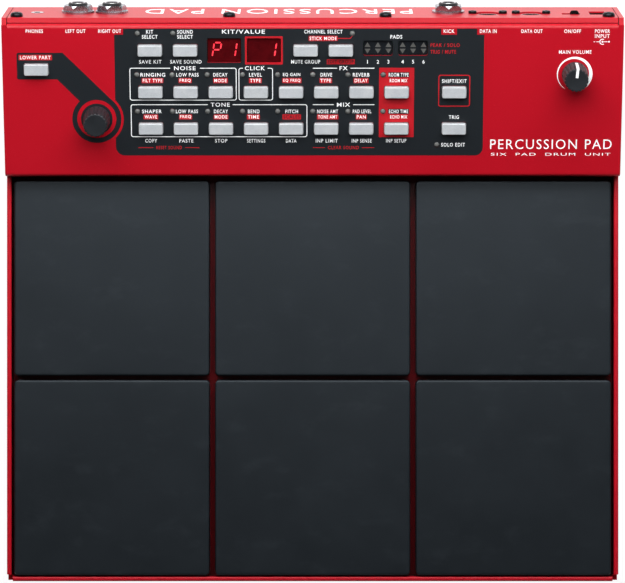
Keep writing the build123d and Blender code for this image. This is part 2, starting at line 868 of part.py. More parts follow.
with BuildPart() as power_slider:
    with BuildSketch(rear_face.offset(-inside - slider_base_depth - slider_base_thickness)):
        with Locations(*on_wall([slider_rest], power_height)):
            Rectangle(*slider_base_size)
    extrude(amount=slider_base_thickness)
    with BuildSketch(rear_face.offset(-inside - slider_base_depth)):
        with Locations(*on_wall([slider_rest], power_height)):
            Rectangle(*slider_grip_size)
    extrude(amount=inside + slider_base_depth + slider_proud)
    chamfer(power_slider.edges().group_by(rear_axis)[-1], length=slider_edge)
power_slider.part.label = "power_slider"
export_step(power_slider.part, "parts/power_slider.step")

# ---------------------------------------------------------------- cover screws

cover_screw_head_radius = 3.45
cover_screw_head_height = 2.4
cover_screw_dome = 1.6
cover_screw_tip = 0.5  # how far the screw reaches past the cover's flange
cover_hex_radius = 1.25
cover_hex_depth = 1.3

with BuildPart() as cover_screws:
    with BuildSketch(rear_face):
        with Locations(*on_wall(cover_screw_places, cover_screw_height)):
            Circle(cover_screw_head_radius)
    extrude(amount=cover_screw_head_height)
    fillet(cover_screws.edges().group_by(rear_axis)[-1], radius=cover_screw_dome)
    with BuildSketch(rear_face.offset(cover_screw_head_height)):
        with Locations(*on_wall(cover_screw_places, cover_screw_height)):
            RegularPolygon(radius=cover_hex_radius, side_count=6, major_radius=False)
    extrude(amount=-cover_hex_depth, mode=Mode.SUBTRACT)
    with BuildSketch(rear_face):
        with Locations(*on_wall(cover_screw_places, cover_screw_height)):
            Circle(cover_screw_radius)
    extrude(amount=-(inside + flange_gap + cover_sheet + cover_screw_tip))
cover_screws.part.label = "cover_screws"
export_step(cover_screws.part, "parts/cover_screws.step")
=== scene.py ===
import json
import math

import bmesh
import bpy
from mathutils import Matrix, Vector


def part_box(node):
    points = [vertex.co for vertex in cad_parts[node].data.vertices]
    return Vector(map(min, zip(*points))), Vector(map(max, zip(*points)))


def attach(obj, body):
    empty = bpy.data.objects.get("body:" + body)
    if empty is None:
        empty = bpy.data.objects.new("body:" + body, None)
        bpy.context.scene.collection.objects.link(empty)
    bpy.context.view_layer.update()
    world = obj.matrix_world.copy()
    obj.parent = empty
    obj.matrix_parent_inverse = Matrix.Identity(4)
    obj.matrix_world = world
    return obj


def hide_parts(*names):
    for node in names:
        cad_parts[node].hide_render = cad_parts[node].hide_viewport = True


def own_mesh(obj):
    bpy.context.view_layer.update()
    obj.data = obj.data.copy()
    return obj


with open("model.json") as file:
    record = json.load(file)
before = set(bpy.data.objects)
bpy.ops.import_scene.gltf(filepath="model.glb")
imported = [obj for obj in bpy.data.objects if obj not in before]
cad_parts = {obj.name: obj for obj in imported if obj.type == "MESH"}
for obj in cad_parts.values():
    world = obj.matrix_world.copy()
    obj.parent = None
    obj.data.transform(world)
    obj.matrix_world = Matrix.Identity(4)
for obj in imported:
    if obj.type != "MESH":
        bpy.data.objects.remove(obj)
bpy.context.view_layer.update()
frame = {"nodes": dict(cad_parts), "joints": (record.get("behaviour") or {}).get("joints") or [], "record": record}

# Looks for the electronic percussion pad. The frame is in metres; the printed graphics and the small
# fittings are laid out in millimetres on two flat faces of the object, the panel and the connector wall.
MM = 0.001
joints = {joint["name"]: joint for joint in frame["joints"]}
mounts = {mount["name"]: mount for mount in frame["record"]["mounts"]}


# ---------------------------------------------------------------- the two working faces


class Face:
    """A flat face with its own directions: across, up and out of the face, in millimetres."""

    def __init__(self, origin, across, out):
        self.origin = Vector(origin)
        self.across = Vector(across).normalized()
        self.out = Vector(out).normalized()
        self.up = self.out.cross(self.across).normalized()

    def at(self, across, up, out):
        return self.origin + MM * (self.across * across + self.up * up + self.out * out)

    def local(self, point):
        offset = (Vector(point) - self.origin) / MM
        return offset.dot(self.across), offset.dot(self.up)

    def matrix(self):
        """From millimetres on the face to metres in the frame."""
        columns = [self.across * MM, self.up * MM, self.out * MM]
        turned = Matrix([[c[row] for c in columns] for row in range(3)])
        return Matrix.Translation(self.origin) @ turned.to_4x4()


def panel_face():
    """The panel's outer face, from the middle of its front edge, with up running up the slope."""
    point = Vector(joints["encoder_turn"]["pos_m"])
    normal = Vector(joints["encoder_turn"]["axis"])
    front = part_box("top_cover")[0][1]
    rise = -normal.y / normal.z
    return Face((0, front, point.z + (front - point.y) * rise), (1, 0, 0), normal)


def rear_face():
    """The connector wall's outer face, from the middle of its bottom corner, seen from behind."""
    point = Vector(mounts["line_out_left"]["pos_m"])
    normal = Vector(mounts["line_out_left"]["axis"])
    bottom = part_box("base_tray")[0][2]
    lean = -normal.z / normal.y
    return Face((0, point.y + (bottom - point.z) * lean, bottom), (-1, 0, 0), normal)


PANEL = panel_face()
REAR = rear_face()
ENCODER = PANEL.local(joints["encoder_turn"]["pos_m"])
VOLUME = PANEL.local(joints["volume_turn"]["pos_m"])


def middle_of(node):
    low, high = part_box(node)
    return [(a + b) / 2 for a, b in zip(low, high)]


# The middle of each button cap on the panel, by node.
BUTTONS = {name: PANEL.local(middle_of(name)) for name in frame["nodes"] if name.startswith("button_")}
COLUMNS = sorted(BUTTONS[f"button_{name}"][0] for name in (
    "tone_spectrum", "tone_filter", "tone_decay", "tone_bend",
    "tone_pitch", "noise_level", "channel_level", "delay_time"))
UPPER_ROW = BUTTONS["button_noise_filter"][1]
LOWER_ROW = BUTTONS["button_tone_filter"][1]
TOP_ROW = BUTTONS["button_kit_select"][1]


# ---------------------------------------------------------------- materials


def srgb(red, green, blue):
    """A colour given as 0 to 255 screen values, as linear values with alpha."""
    def linear(value):
        value /= 255
        return value / 12.92 if value <= 0.04045 else ((value + 0.055) / 1.055) ** 2.4
    return (linear(red), linear(green), linear(blue), 1.0)


# The two ends of a ramp that makes a factor.
ZERO = (0, 0, 0, 1)
ONE = (1, 1, 1, 1)


class Surface:
    """A procedural material under construction."""

    def __init__(self, name, roughness, metallic=0.0, specular=0.5, ior=1.5):
        self.material = bpy.data.materials.new(name)
        self.material.use_nodes = True
        self.nodes = self.material.node_tree.nodes
        self.links = self.material.node_tree.links
        self.shader = self.nodes["Principled BSDF"]
        self.shader.inputs["Metallic"].default_value = metallic
        self.shader.inputs["Roughness"].default_value = roughness
        self.shader.inputs["Specular IOR Level"].default_value = specular
        self.shader.inputs["IOR"].default_value = ior
        self.place = self.nodes.new("ShaderNodeTexCoord").outputs["Object"]
        self.height = None

    def noise(self, size, detail=2.0, roughness=0.5, stretch=None):
        """Noise with features of about this size in metres, as a factor."""
        place = self.place
        if stretch:
            mapping = self.nodes.new("ShaderNodeMapping")
            mapping.inputs["Scale"].default_value = stretch
            self.links.new(place, mapping.inputs["Vector"])
            place = mapping.outputs["Vector"]
        node = self.nodes.new("ShaderNodeTexNoise")
        node.inputs["Scale"].default_value = 1 / size
        node.inputs["Detail"].default_value = detail
        node.inputs["Roughness"].default_value = roughness
        self.links.new(place, node.inputs["Vector"])
        return node.outputs["Fac"]

    def ramp(self, factor, low, high, colour_low, colour_high):
        """Blends from one colour to the other as the factor goes from low to high."""
        node = self.nodes.new("ShaderNodeValToRGB")
        node.color_ramp.elements[0].position = low
        node.color_ramp.elements[0].color = colour_low
        node.color_ramp.elements[1].position = high
        node.color_ramp.elements[1].color = colour_high
        self.links.new(factor, node.inputs["Fac"])
        return node.outputs["Color"]

    def mix(self, factor, first, second):
        """Blends two colours by a factor."""
        node = self.nodes.new("ShaderNodeMix")
        node.data_type = "RGBA"
        inputs = (node.inputs[0], node.inputs[6], node.inputs[7])  # the factor and the two colours
        for socket, value in zip(inputs, (factor, first, second)):
            if isinstance(value, bpy.types.NodeSocket):
                self.links.new(value, socket)
            else:
                socket.default_value = value
        return node.outputs[2]  # the blended colour

    def crevices(self, reach, unshaded_colour, shade_colour):
        """Painted shade: darkens the colour of the deep gaps that are closed in within a reach in metres."""
        closed_in, open_enough = 0.1, 0.42
        node = self.nodes.new("ShaderNodeAmbientOcclusion")
        node.samples = 8
        node.inputs["Distance"].default_value = reach
        openness = self.ramp(node.outputs["AO"], closed_in, open_enough, ZERO, ONE)
        return self.mix(openness, shade_colour, unshaded_colour)

    def colour(self, output):
        self.links.new(output, self.shader.inputs["Base Color"])

    def rough(self, factor, low, high):
        """Roughness between two values, following a factor."""
        node = self.nodes.new("ShaderNodeMapRange")
        node.inputs["To Min"].default_value = low
        node.inputs["To Max"].default_value = high
        self.links.new(factor, node.inputs["Value"])
        self.links.new(node.outputs["Result"], self.shader.inputs["Roughness"])

    def bump(self, factor, strength, distance):
        """Adds a layer of relief, over the layers added before."""
        node = self.nodes.new("ShaderNodeBump")
        node.inputs["Strength"].default_value = strength
        node.inputs["Distance"].default_value = distance
        self.links.new(factor, node.inputs["Height"])
        if self.height:
            self.links.new(self.height, node.inputs["Normal"])
        self.height = node.outputs["Normal"]
        self.links.new(self.height, self.shader.inputs["Normal"])


def powder_coat():
    """Red powder coat: satin, with a fine orange-peel grain, tiny lighter specks and painted shade that darkens
    deep gaps.
    """
    coat = Surface("powder_coat", 0.42, specular=0.28)
    grain = coat.noise(0.0007, 3)
    cloud = coat.noise(0.05, 2)
    base = coat.ramp(cloud, 0.3, 0.7, srgb(190, 15, 34), srgb(196, 18, 37))
    specks = coat.ramp(grain, 0.62, 0.78, ZERO, ONE)
    flecked = coat.mix(specks, base, srgb(208, 40, 56))
    # painted shade: the coat's colour turns dark red where the occlusion node finds closed-in gaps, such as
    # between the pads
    coat.colour(coat.crevices(0.02, flecked, srgb(70, 5, 11)))
    coat.rough(grain, 0.3, 0.42)
    coat.bump(grain, 0.25, 0.00005)
    return coat.material


def pad_rubber():
    """Dark grey moulded rubber with faint cloudy scuffs from the sticks."""
    rubber = Surface("pad_rubber", 0.48, specular=0.52)
    rubber.shader.inputs["Specular Tint"].default_value = srgb(228, 243, 255)
    cloud = rubber.noise(0.035, 6, 0.62)
    streaks = rubber.noise(0.014, 4, 0.6, stretch=(0.7, 1.2, 1.0))
    base = rubber.ramp(cloud, 0.32, 0.7, srgb(11, 16, 21), srgb(17, 22, 27))
    scuffs = rubber.ramp(streaks, 0.56, 0.8, ZERO, (0.2, 0.2, 0.2, 1))
    rubber.colour(rubber.mix(scuffs, base, srgb(56, 62, 68)))
    rubber.rough(cloud, 0.42, 0.52)
    rubber.bump(rubber.noise(0.0006, 3), 0.3, 0.00006)
    rubber.bump(cloud, 0.1, 0.0003)
    return rubber.material


def moulded(name, dark, light, roughness, grain=0.0005, depth=0.00003, ior=1.5):
    """Moulded plastic with a fine spark-eroded grain and slight shade changes."""
    plastic = Surface(name, roughness, ior=ior)
    fine = plastic.noise(grain, 2)
    cloud = plastic.noise(0.006, 3)
    plastic.colour(plastic.ramp(cloud, 0.35, 0.65, dark, light))
    plastic.rough(fine, roughness - 0.06, roughness + 0.06)
    plastic.bump(fine, 0.3, depth)
    return plastic.material


def metal(name, dark, light, roughness):
    """Plated or turned metal with fine brushing."""
    plate = Surface(name, roughness, metallic=1.0)
    lines = plate.noise(0.0008, 3, 0.6, stretch=(1, 1, 12))
    plate.colour(plate.ramp(lines, 0.3, 0.7, dark, light))
    plate.rough(lines, roughness - 0.08, roughness + 0.1)
    plate.bump(lines, 0.12, 0.00002)
    return plate.material


def print_ink(name, tone, wear, glow=0.0):
    """Screen-printed ink: nearly flat, with a faint mesh grain, and for white a painted glow that keeps it bright
    in shade.
    """
    ink = Surface(name, 0.5)
    grain = ink.noise(0.0004, 2)
    ink.colour(ink.ramp(grain, 0.35, 0.65, tone, wear))
    ink.rough(grain, 0.42, 0.58)
    ink.bump(grain, 0.2, 0.00002)
    # painted light: the ink glows a little so that it stays bright where shadows fall on it
    if glow:
        ink.shader.inputs["Emission Color"].default_value = tone
        ink.shader.inputs["Emission Strength"].default_value = glow
    return ink.material


def filter_window(name, tone, deep):
    """A smoked, glossy filter, slightly uneven in depth of colour."""
    window = Surface(name, 0.18, specular=0.3)
    window.colour(window.ramp(window.noise(0.004, 2), 0.3, 0.7, deep, tone))
    window.bump(window.noise(0.0012, 2), 0.05, 0.00002)
    return window.material


def lit_segment():
    """A lit display segment, slightly uneven in brightness."""
    glow = Surface("lit_segment", 0.4)
    shade = glow.ramp(glow.noise(0.0015, 1), 0.3, 0.7, srgb(250, 38, 56), srgb(255, 72, 84))
    glow.colour(shade)
    glow.links.new(shade, glow.shader.inputs["Emission Color"])
    glow.shader.inputs["Emission Strength"].default_value = 0.6
    return glow.material


def foam_rubber():
    """Open-cell foam: dark, matt and pitted."""
    foam = Surface("foam_rubber", 0.95, specular=0.2)
    cells = foam.noise(0.0009, 4, 0.7)
    foam.colour(foam.ramp(cells, 0.35, 0.65, srgb(20, 20, 22), srgb(48, 48, 52)))
    foam.bump(cells, 0.8, 0.0004)
    return foam.material


def circuit_board():
    """Green solder mask with the tracks showing faintly through it."""
    board = Surface("circuit_board", 0.35)
    brick = board.nodes.new("ShaderNodeTexBrick")
    brick.inputs["Scale"].default_value = 160
    brick.inputs["Color1"].default_value = srgb(14, 92, 50)
    brick.inputs["Color2"].default_value = srgb(18, 104, 58)
    brick.inputs["Mortar"].default_value = srgb(34, 130, 76)
    brick.inputs["Mortar Size"].default_value = 0.03
    board.links.new(board.place, brick.inputs["Vector"])
    board.colour(brick.outputs["Color"])
    board.bump(brick.outputs["Fac"], 0.2, 0.00003)
    return board.material


RED = powder_coat()
RUBBER = pad_rubber()
CAP = moulded("button_plastic", srgb(196, 201, 206), srgb(206, 210, 214), 0.28)
BLACK_PLASTIC = moulded("black_plastic", srgb(24, 25, 28), srgb(32, 33, 36), 0.42)
SOCKET_PLASTIC = moulded("socket_plastic", srgb(9, 9, 10), srgb(16, 16, 17), 0.8, ior=1.12)
KNOB = moulded("knob_plastic", srgb(33, 37, 41), srgb(41, 45, 50), 0.42, grain=0.0004, depth=0.00005)
FOOT = moulded("foot_rubber", srgb(20, 20, 21), srgb(30, 30, 31), 0.8, grain=0.0009, depth=0.0001)
NICKEL = metal("bright_nickel", srgb(196, 196, 198), srgb(226, 226, 228), 0.2)
NUT_NICKEL = metal("nut_nickel", srgb(142, 144, 150), srgb(196, 198, 204), 0.24)
STEEL = metal("turned_steel", srgb(170, 171, 174), srgb(202, 203, 206), 0.32)
BRASS = metal("sensor_brass", srgb(186, 142, 70), srgb(214, 172, 96), 0.3)
BLACK_SCREW = metal("black_screw", srgb(30, 32, 35), srgb(52, 55, 58), 0.35)
INK_BLACK = print_ink("ink_black", srgb(17, 24, 30), srgb(21, 28, 34))
# the white ink glows as painted light, so that the words stay bright in the buttons' shadows
INK_WHITE = print_ink("ink_white", srgb(238, 240, 242), srgb(250, 251, 252), glow=0.3)
INK_RED = print_ink("ink_red", srgb(196, 14, 30), srgb(202, 17, 34))
DISPLAY = filter_window("display_filter", srgb(84, 7, 13), srgb(72, 5, 10))
METER = filter_window("meter_filter", srgb(30, 34, 38), srgb(24, 27, 31))
DIM_SEGMENT = filter_window("dim_segment", srgb(86, 8, 14), srgb(78, 6, 12))
METER_MARK = filter_window("meter_mark", srgb(104, 104, 102), srgb(92, 92, 90))
LED = filter_window("led_lens", srgb(122, 124, 122), srgb(102, 104, 103))
LIT = lit_segment()
FOAM = foam_rubber()
BOARD = circuit_board()


def paint(node, material):
    """A CAD node takes a better material in every slot."""
    mesh = frame["nodes"][node].data
    if not mesh.materials:
        mesh.materials.append(material)
    for index in range(len(mesh.materials)):
        mesh.materials[index] = material


# ---------------------------------------------------------------- mesh helpers


def add_piece(name, bm, material, body):
    """A finished mesh piece that rides on a body."""
    bmesh.ops.recalc_face_normals(bm, faces=bm.faces)
    mesh = bpy.data.meshes.new(name)
    bm.to_mesh(mesh)
    bm.free()
    mesh.materials.append(material)
    piece = bpy.data.objects.new(name, mesh)
    bpy.context.collection.objects.link(piece)
    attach(piece, body)
    return piece


def smooth_by_angle(piece, degrees=35):
    """Round faces shade smoothly, and edges sharper than the angle stay crisp."""
    bm = bmesh.new()
    bm.from_mesh(piece.data)
    for face in bm.faces:
        face.smooth = True
    for edge in bm.edges:
        edge.smooth = not edge.is_manifold or edge.calc_face_angle(0) < math.radians(degrees)
    bm.to_mesh(piece.data)
    bm.free()


def ring(bm, points):
    return [bm.verts.new(point) for point in points]


def bridge(bm, first, second):
    """Faces between two closed rings of equal length."""
    count = len(first)
    for index in range(count):
        following = (index + 1) % count
        bm.faces.new((first[index], first[following], second[following], second[index]))


def close_stack(bm, rings):
    """Faces between the rings of a stack, and one over each end."""
    for first, second in zip(rings, rings[1:]):
        bridge(bm, first, second)
    bm.faces.new(rings[0][::-1])
    bm.faces.new(rings[-1])


def close_loop(bm, rings):
    """Faces between the rings of a stack that comes back to its start."""
    for first, second in zip(rings, rings[1:] + rings[:1]):
        bridge(bm, first, second)


def arc(centre, radius, start, end, steps=16):
    """Points on an arc, angles in degrees anticlockwise from across."""
    angles = [math.radians(start + (end - start) * step / steps) for step in range(steps + 1)]
    return [(centre[0] + radius * math.cos(a), centre[1] + radius * math.sin(a)) for a in angles]


def circle(centre, radius, steps=32):
    return arc(centre, radius, 0, 360, steps)[:-1]


def rounded(left, bottom, right, top, radius, steps=5):
    """A rectangle with round corners."""
    radius = min(radius, (right - left) / 2, (top - bottom) / 2)
    corners = (
        ((right - radius, top - radius), 0),
        ((left + radius, top - radius), 90),
        ((left + radius, bottom + radius), 180),
        ((right - radius, bottom + radius), 270),
    )
    return [p for centre, start in corners for p in arc(centre, radius, start, start + 90, steps)]


def around(middle, width, height, radius=0.3):
    """A rounded rectangle about its middle."""
    across, up = middle
    return rounded(across - width / 2, up - height / 2, across + width / 2, up + height / 2, radius)


def offset_rectangle(half_x, half_y, radius, inset, steps=8):
    """A rounded rectangle about the origin, drawn in by an inset."""
    return rounded(-half_x + inset, -half_y + inset, half_x - inset, half_y - inset,
                   max(radius - inset, 0.02), steps)


# ---------------------------------------------------------------- printed graphics

INK_THICKNESS = 0.02
SINK = 0.01  # how far a print reaches into the face under it, so that no gap shows


def mesh_of(curve):
    """Turns a curve into a mesh and removes the curve."""
    holder = bpy.data.objects.new("print", curve)
    bpy.context.collection.objects.link(holder)
    bpy.context.view_layer.update()
    mesh = bpy.data.meshes.new_from_object(holder.evaluated_get(bpy.context.evaluated_depsgraph_get()))
    bpy.data.objects.remove(holder)
    bpy.data.curves.remove(curve)
    return mesh


def printed_mesh(loops, lift):
    """A flat print in millimetres: closed loops, where a loop inside another is a hole."""
    curve = bpy.data.curves.new("print", "CURVE")
    curve.dimensions = "2D"
    curve.fill_mode = "BOTH"
    curve.extrude = (lift + SINK) / 2
    for loop in loops:
        spline = curve.splines.new("POLY")
        spline.points.add(len(loop) - 1)
        for point, (across, up) in zip(spline.points, loop):
            point.co = (across, up, 0, 1)
        spline.use_cyclic_u = True
    mesh = mesh_of(curve)
    mesh.transform(Matrix.Translation((0, 0, (lift - SINK) / 2)))
    return mesh


def text_mesh(words, across, up, height, width, lift, weight=0.014, align="CENTER"):
    """Plain lettering in millimetres: capitals of a height, drawn out or in to a width if given."""
    curve = bpy.data.curves.new("words", "FONT")
    curve.body = words
    curve.size = 1
    curve.resolution_u = 3
    curve.offset = weight
    curve.space_character = 1.18
    curve.extrude = 0.5  # the letters are 1 thick, which the scale below makes the ink's thickness
    mesh = mesh_of(curve)
    places = [v.co for v in mesh.vertices]
    low = min(p.x for p in places)
    high = max(p.x for p in places)
    bottom = min(p.y for p in places)
    top = max(p.y for p in places)
    tall = height / (top - bottom)
    wide = width / (high - low) if width else tall
    scale = Matrix.Diagonal((wide, tall, lift + SINK, 1))
    anchor = {"CENTER": (low + high) / 2, "LEFT": low}[align]
    middle = Matrix.Translation((-anchor, -(bottom + top) / 2, 0))
    mesh.transform(Matrix.Translation((across, up, (lift - SINK) / 2)) @ scale @ middle)
    return mesh


def print_on(face, name, meshes, material, body="chassis"):
    """Joins prints into one piece on a face."""
    bm = bmesh.new()
    for mesh in meshes:
        bm.from_mesh(mesh)
        bpy.data.meshes.remove(mesh)
    bmesh.ops.remove_doubles(bm, verts=bm.verts, dist=0.0005)
    bm.transform(face.matrix())
    return add_piece(name, bm, material, body)


# Openings in the panel, which the print leaves free.
BUTTON_HOLE = (14.1, 7.0, 1.2)  # width, height and corner radius
LED_OFFSET = 7.5
LED_HOLE = 1.6  # radius
UPPER_LEDS = UPPER_ROW + 9.7
LOWER_LEDS = LOWER_ROW + 9.65
LED_PLACES = [(-97.1, 81.4), (-77.5, 81.4), (22.0, 81.4), (69.4, 17.9)]
LED_PLACES += [(column - LED_OFFSET, UPPER_LEDS) for column in COLUMNS]
LED_PLACES += [(column - LED_OFFSET, LOWER_LEDS) for column in COLUMNS]
DISPLAYS = [(-49.05, 71.8), (-27.05, 71.8)]
DISPLAY_HOLE = (18.9, 13.8, 0.6)
METERS = [(36.2, 73.15), (55.7, 73.15)]
METER_HOLE = (16.4, 8.5, 1.2)


def holes_within(left, right):
    """Loops for the panel's openings between two places across."""
    loops = [around(place, *BUTTON_HOLE) for place in BUTTONS.values()]
    loops += [circle(place, LED_HOLE, 16) for place in LED_PLACES]
    loops += [around(place, *DISPLAY_HOLE) for place in DISPLAYS]
    loops += [around(place, *METER_HOLE) for place in METERS]
    return [loop for loop in loops if left < loop[0][0] < right]


PLATE_LEFT, PLATE_RIGHT = -110.0, 95.1
ENCODER_RING = (13.7, 10.9)  # outer and inner radius
ENCODER_SKIRT = (8.8, 4.6)


def main_plate():
    """The black printed area that holds most controls, with its tabs, hollow and round corners."""
    left, right, bottom, top = PLATE_LEFT, PLATE_RIGHT, 11.7, 84.1
    tab = 3.4
    left_tab, right_tab = 5, 4
    left_corner, right_corner = 5, 4.5
    kick_from, kick_to = 71.2, 79.9
    hollow = 15.0
    reach = math.degrees(math.acos((left - ENCODER[0]) / hollow))
    outline = [(left + left_tab, top), (left + left_tab, top - tab), (left, top - tab)]
    outline += reversed(arc(ENCODER, hollow, -reach, reach, 20))
    outline += arc((left + left_corner, bottom + left_corner), left_corner, 180, 270, 8)
    outline += arc((right - right_corner, bottom + right_corner), right_corner, 270, 360, 8)
    outline += [(right, top - tab), (right - right_tab, top - tab), (right - right_tab, top)]
    outline += [(kick_to, top), (kick_to, top - tab), (kick_from, top - tab), (kick_from, top)]
    return outline


def side_plate():
    """The plate round the left-hand button and its slanting lead to the encoder's ring."""
    left, bottom, top = -164.3, 55.3, 70.4
    corner = 1
    ring_radius = ENCODER_RING[0]
    overlap = 1.4  # how far the lead reaches into the ring
    elbow = (ENCODER[0] - 10.0, ENCODER[1] + 10.8)
    lead_foot = -142.0
    outline = arc((left + corner, top - corner), corner, 180, 90, 4)
    outline += [(ENCODER[0] + ring_radius * math.sqrt(2) - (top - ENCODER[1]), top)]
    outline += [arc(ENCODER, ring_radius, 45, 46, 1)[0]]
    outline += arc(ENCODER, ring_radius - overlap, 45, 132, 12)
    outline += [elbow, (lead_foot, bottom)]
    outline += arc((left + corner, bottom + corner), corner, 270, 180, 4)
    return outline


def black_print():
    """The black areas of the panel: the main plate, the side plate and the two rings at the encoder."""
    inside_plate = (PLATE_LEFT + 1, PLATE_RIGHT - 1.1)
    over_lead = INK_THICKNESS + 0.004  # the ring lies just above the end of the side plate's lead
    layers = [printed_mesh([main_plate()] + holes_within(*inside_plate), INK_THICKNESS)]
    lower_button = around(BUTTONS["button_lower_function"], *BUTTON_HOLE)
    layers.append(printed_mesh([side_plate(), lower_button], INK_THICKNESS))
    layers.append(printed_mesh([circle(ENCODER, radius, 96) for radius in ENCODER_RING], over_lead))
    skirt = [circle(ENCODER, ENCODER_SKIRT[0], 72), circle(ENCODER, ENCODER_SKIRT[1], 48)]
    layers.append(printed_mesh(skirt, INK_THICKNESS))
    return print_on(PANEL, "panel_print_black", layers, INK_BLACK)


# Lettering: plain function words only, each as (words, shift across, width); no name, mark or rating.
HEADER, LABEL, SMALL = 2.3, 2.1, 1.95
UPPER_FIRST, UPPER_SECOND = UPPER_LEDS, UPPER_ROW + 6.4
LOWER_FIRST, LOWER_SECOND = LOWER_LEDS, LOWER_ROW + 6.5
BELOW_ROW = LOWER_ROW - 7.2
UNDER_TOP_ROW = TOP_ROW - 6.6
CLEARING_ROW = 16.25
UPPER_HEADERS, LOWER_HEADERS = 61.7, 40.9
BACK_ROW = 82.7
UPPER_WORDS = [
    ("RINGING", 1.4, 13.8), ("LOW PASS", 1.1, 12.4), ("DECAY", -0.2, 7.9), ("LEVEL", -0.2, 7.1),
    ("EQ GAIN", 0.3, 9.6), ("DRIVE", 0.0, 6.4), ("REVERB", -0.2, 9.2), ("ROOM TYPE", 1.1, 11.0),
]
UPPER_SHIFTED = [
    ("FILT TYPE", 1.2, 10.9), ("FREQ", -0.2, 6.2), ("MODE", -0.1, 7.0), ("TYPE", -0.3, 6.0),
    ("EQ FREQ", 0.4, 9.6), ("TYPE", -0.3, 5.9), ("DELAY", -0.2, 7.2), ("ROOM MIX", 1.1, 9.8),
]
LOWER_WORDS = [
    ("SHAPER", 0.6, 11.0), ("LOW PASS", 0.6, 12.3), ("DECAY", 0.0, 7.8), ("BEND", -1.3, 6.5),
    ("PITCH", 0.3, 7.1), ("NOISE AMT", 0.8, 11.6), ("PAD LEVEL", 0.4, 10.3), ("ECHO TIME", 1.2, 10.6),
]
LOWER_SHIFTED = [
    ("WAVE", 0.0, 7.0), ("FREQ", -0.2, 6.2), ("MODE", 0.0, 7.0), ("TIME", -1.5, 6.2),
    ("SCALES", 0.3, 9.2), ("TONE AMT", 0.8, 10.8), ("PAN", 0.0, 5.0), ("ECHO MIX", 1.3, 9.5),
]
BELOW_WORDS = [
    ("COPY", 0.0, 6.7), ("PASTE", 0.1, 7.8), ("STOP", 0.0, 6.9), ("SETTINGS", 0.0, 10.2),
    ("DATA", 0.0, 5.9), ("INP LIMIT", 0.3, 12.2), ("INP SENSE", 0.3, 11.1), ("INP SETUP", 0.0, 11.3),
]
LAST = len(COLUMNS) - 1
DARK_WORD = 4  # this column's lower shifted word is dark on its plate
PLATE_MARGIN = 1.1
PLATE_HEIGHT = 2.9
ON_RED = 2 * INK_THICKNESS
ON_STRIP = 3 * INK_THICKNESS
ON_TOP = 4 * INK_THICKNESS
STICK_PLATE = (5.8, 78.6)
EDIT_PLATE = (BUTTONS["button_edit_group"][0], UNDER_TOP_ROW)
LOWER_LABEL = (BUTTONS["button_lower_function"][0] - 0.4, BUTTONS["button_lower_function"][1] + 6.65)


def shifted_plates():
    """The red plates behind the second line of words."""
    plates = []
    for column, upper, lower in zip(COLUMNS[:LAST], UPPER_SHIFTED, LOWER_SHIFTED):
        plates.append(around((column + upper[1], UPPER_SECOND), upper[2] + PLATE_MARGIN, PLATE_HEIGHT))
        plates.append(around((column + lower[1], LOWER_SECOND), lower[2] + PLATE_MARGIN, PLATE_HEIGHT))
    return plates


def frame_line(left, bottom, right, top, gap_from, gap_to, line=0.42, radius=1.3):
    """A white outline box, left open for its heading in the top side."""
    steps = 5
    outer = rounded(left, bottom, right, top, radius, steps)
    inner = rounded(left + line, bottom + line, right - line, top - line, radius - line, steps)
    # the corners come in the order top right, top left, bottom left, bottom right
    start = steps + 1
    return ([(gap_to, top)] + outer[steps::-1] + outer[:steps:-1] + [(gap_from, top), (gap_from, top - line)]
            + inner[start:] + inner[:start] + [(gap_to, top - line)])


def bar(left, right, up, line=0.42):
    return rounded(left, up - line / 2, right, up + line / 2, 0.05, 1)


def red_print():
    """The red plates, frames and lines on the black area."""
    column = COLUMNS[LAST]
    plates = shifted_plates()
    plates.append(around(EDIT_PLATE, 15.6, PLATE_HEIGHT))
    plates.append(around(STICK_PLATE, 16.1, PLATE_HEIGHT))
    plates.append(around(LOWER_LABEL, 18.6, 3.1))
    tall_half, below, above = 9.75, 5.15, 13.7
    tall = [rounded(column - tall_half, LOWER_ROW - below, column + tall_half, UPPER_ROW + above, 0.2)]
    tall += [around(BUTTONS[name], *BUTTON_HOLE) for name in ("button_reverb_type", "button_delay_time")]
    tall += [circle((column - LED_OFFSET, up), LED_HOLE, 16) for up in (UPPER_LEDS, LOWER_LEDS)]
    display = DISPLAYS[1]
    shift = BUTTONS["button_shift"]
    box = (shift[0], shift[1] + 0.6)
    frames = [
        around(display, 21.0, 16.0, 0.5), around(display, *DISPLAY_HOLE),
        around(box, 17.8, 18.2, 1.4), around(box, 16.6, 17.0, 0.9),
    ]
    clearing_lines = ((-97.4, -89.2), (-71.3, -63.4), (0.2, 6.9), (27.5, 34.4))
    lines = [bar(left, right, CLEARING_ROW, 0.4) for left, right in clearing_lines]
    # the line from the stick plate, which turns up towards the lamp beside it
    start = (STICK_PLATE[0] + 7.8, STICK_PLATE[1])
    turned = ((0, 0.25), (0, -0.25), (7.3, -0.25), (8.6, 1.3), (8.2, 1.6), (7.1, 0.25))
    lines.append([(start[0] + across, start[1] + up) for across, up in turned])
    layers = [printed_mesh(loops, ON_RED) for loops in (plates, tall, frames, lines)]
    for words, across, width in (("RESET SOUND", -80.3, 14.3), ("CLEAR SOUND", 17.2, 17.3)):
        layers.append(text_mesh(words, across, CLEARING_ROW, SMALL, width, ON_RED))
    for words, up, width in (("PEAK / SOLO", 74.8, 16.3), ("TRIG / MUTE", 71.0, 14.2)):
        layers.append(text_mesh(words, 65.3, up, LABEL, width, ON_RED, align="LEFT"))
    return print_on(PANEL, "panel_print_red", layers, INK_RED)


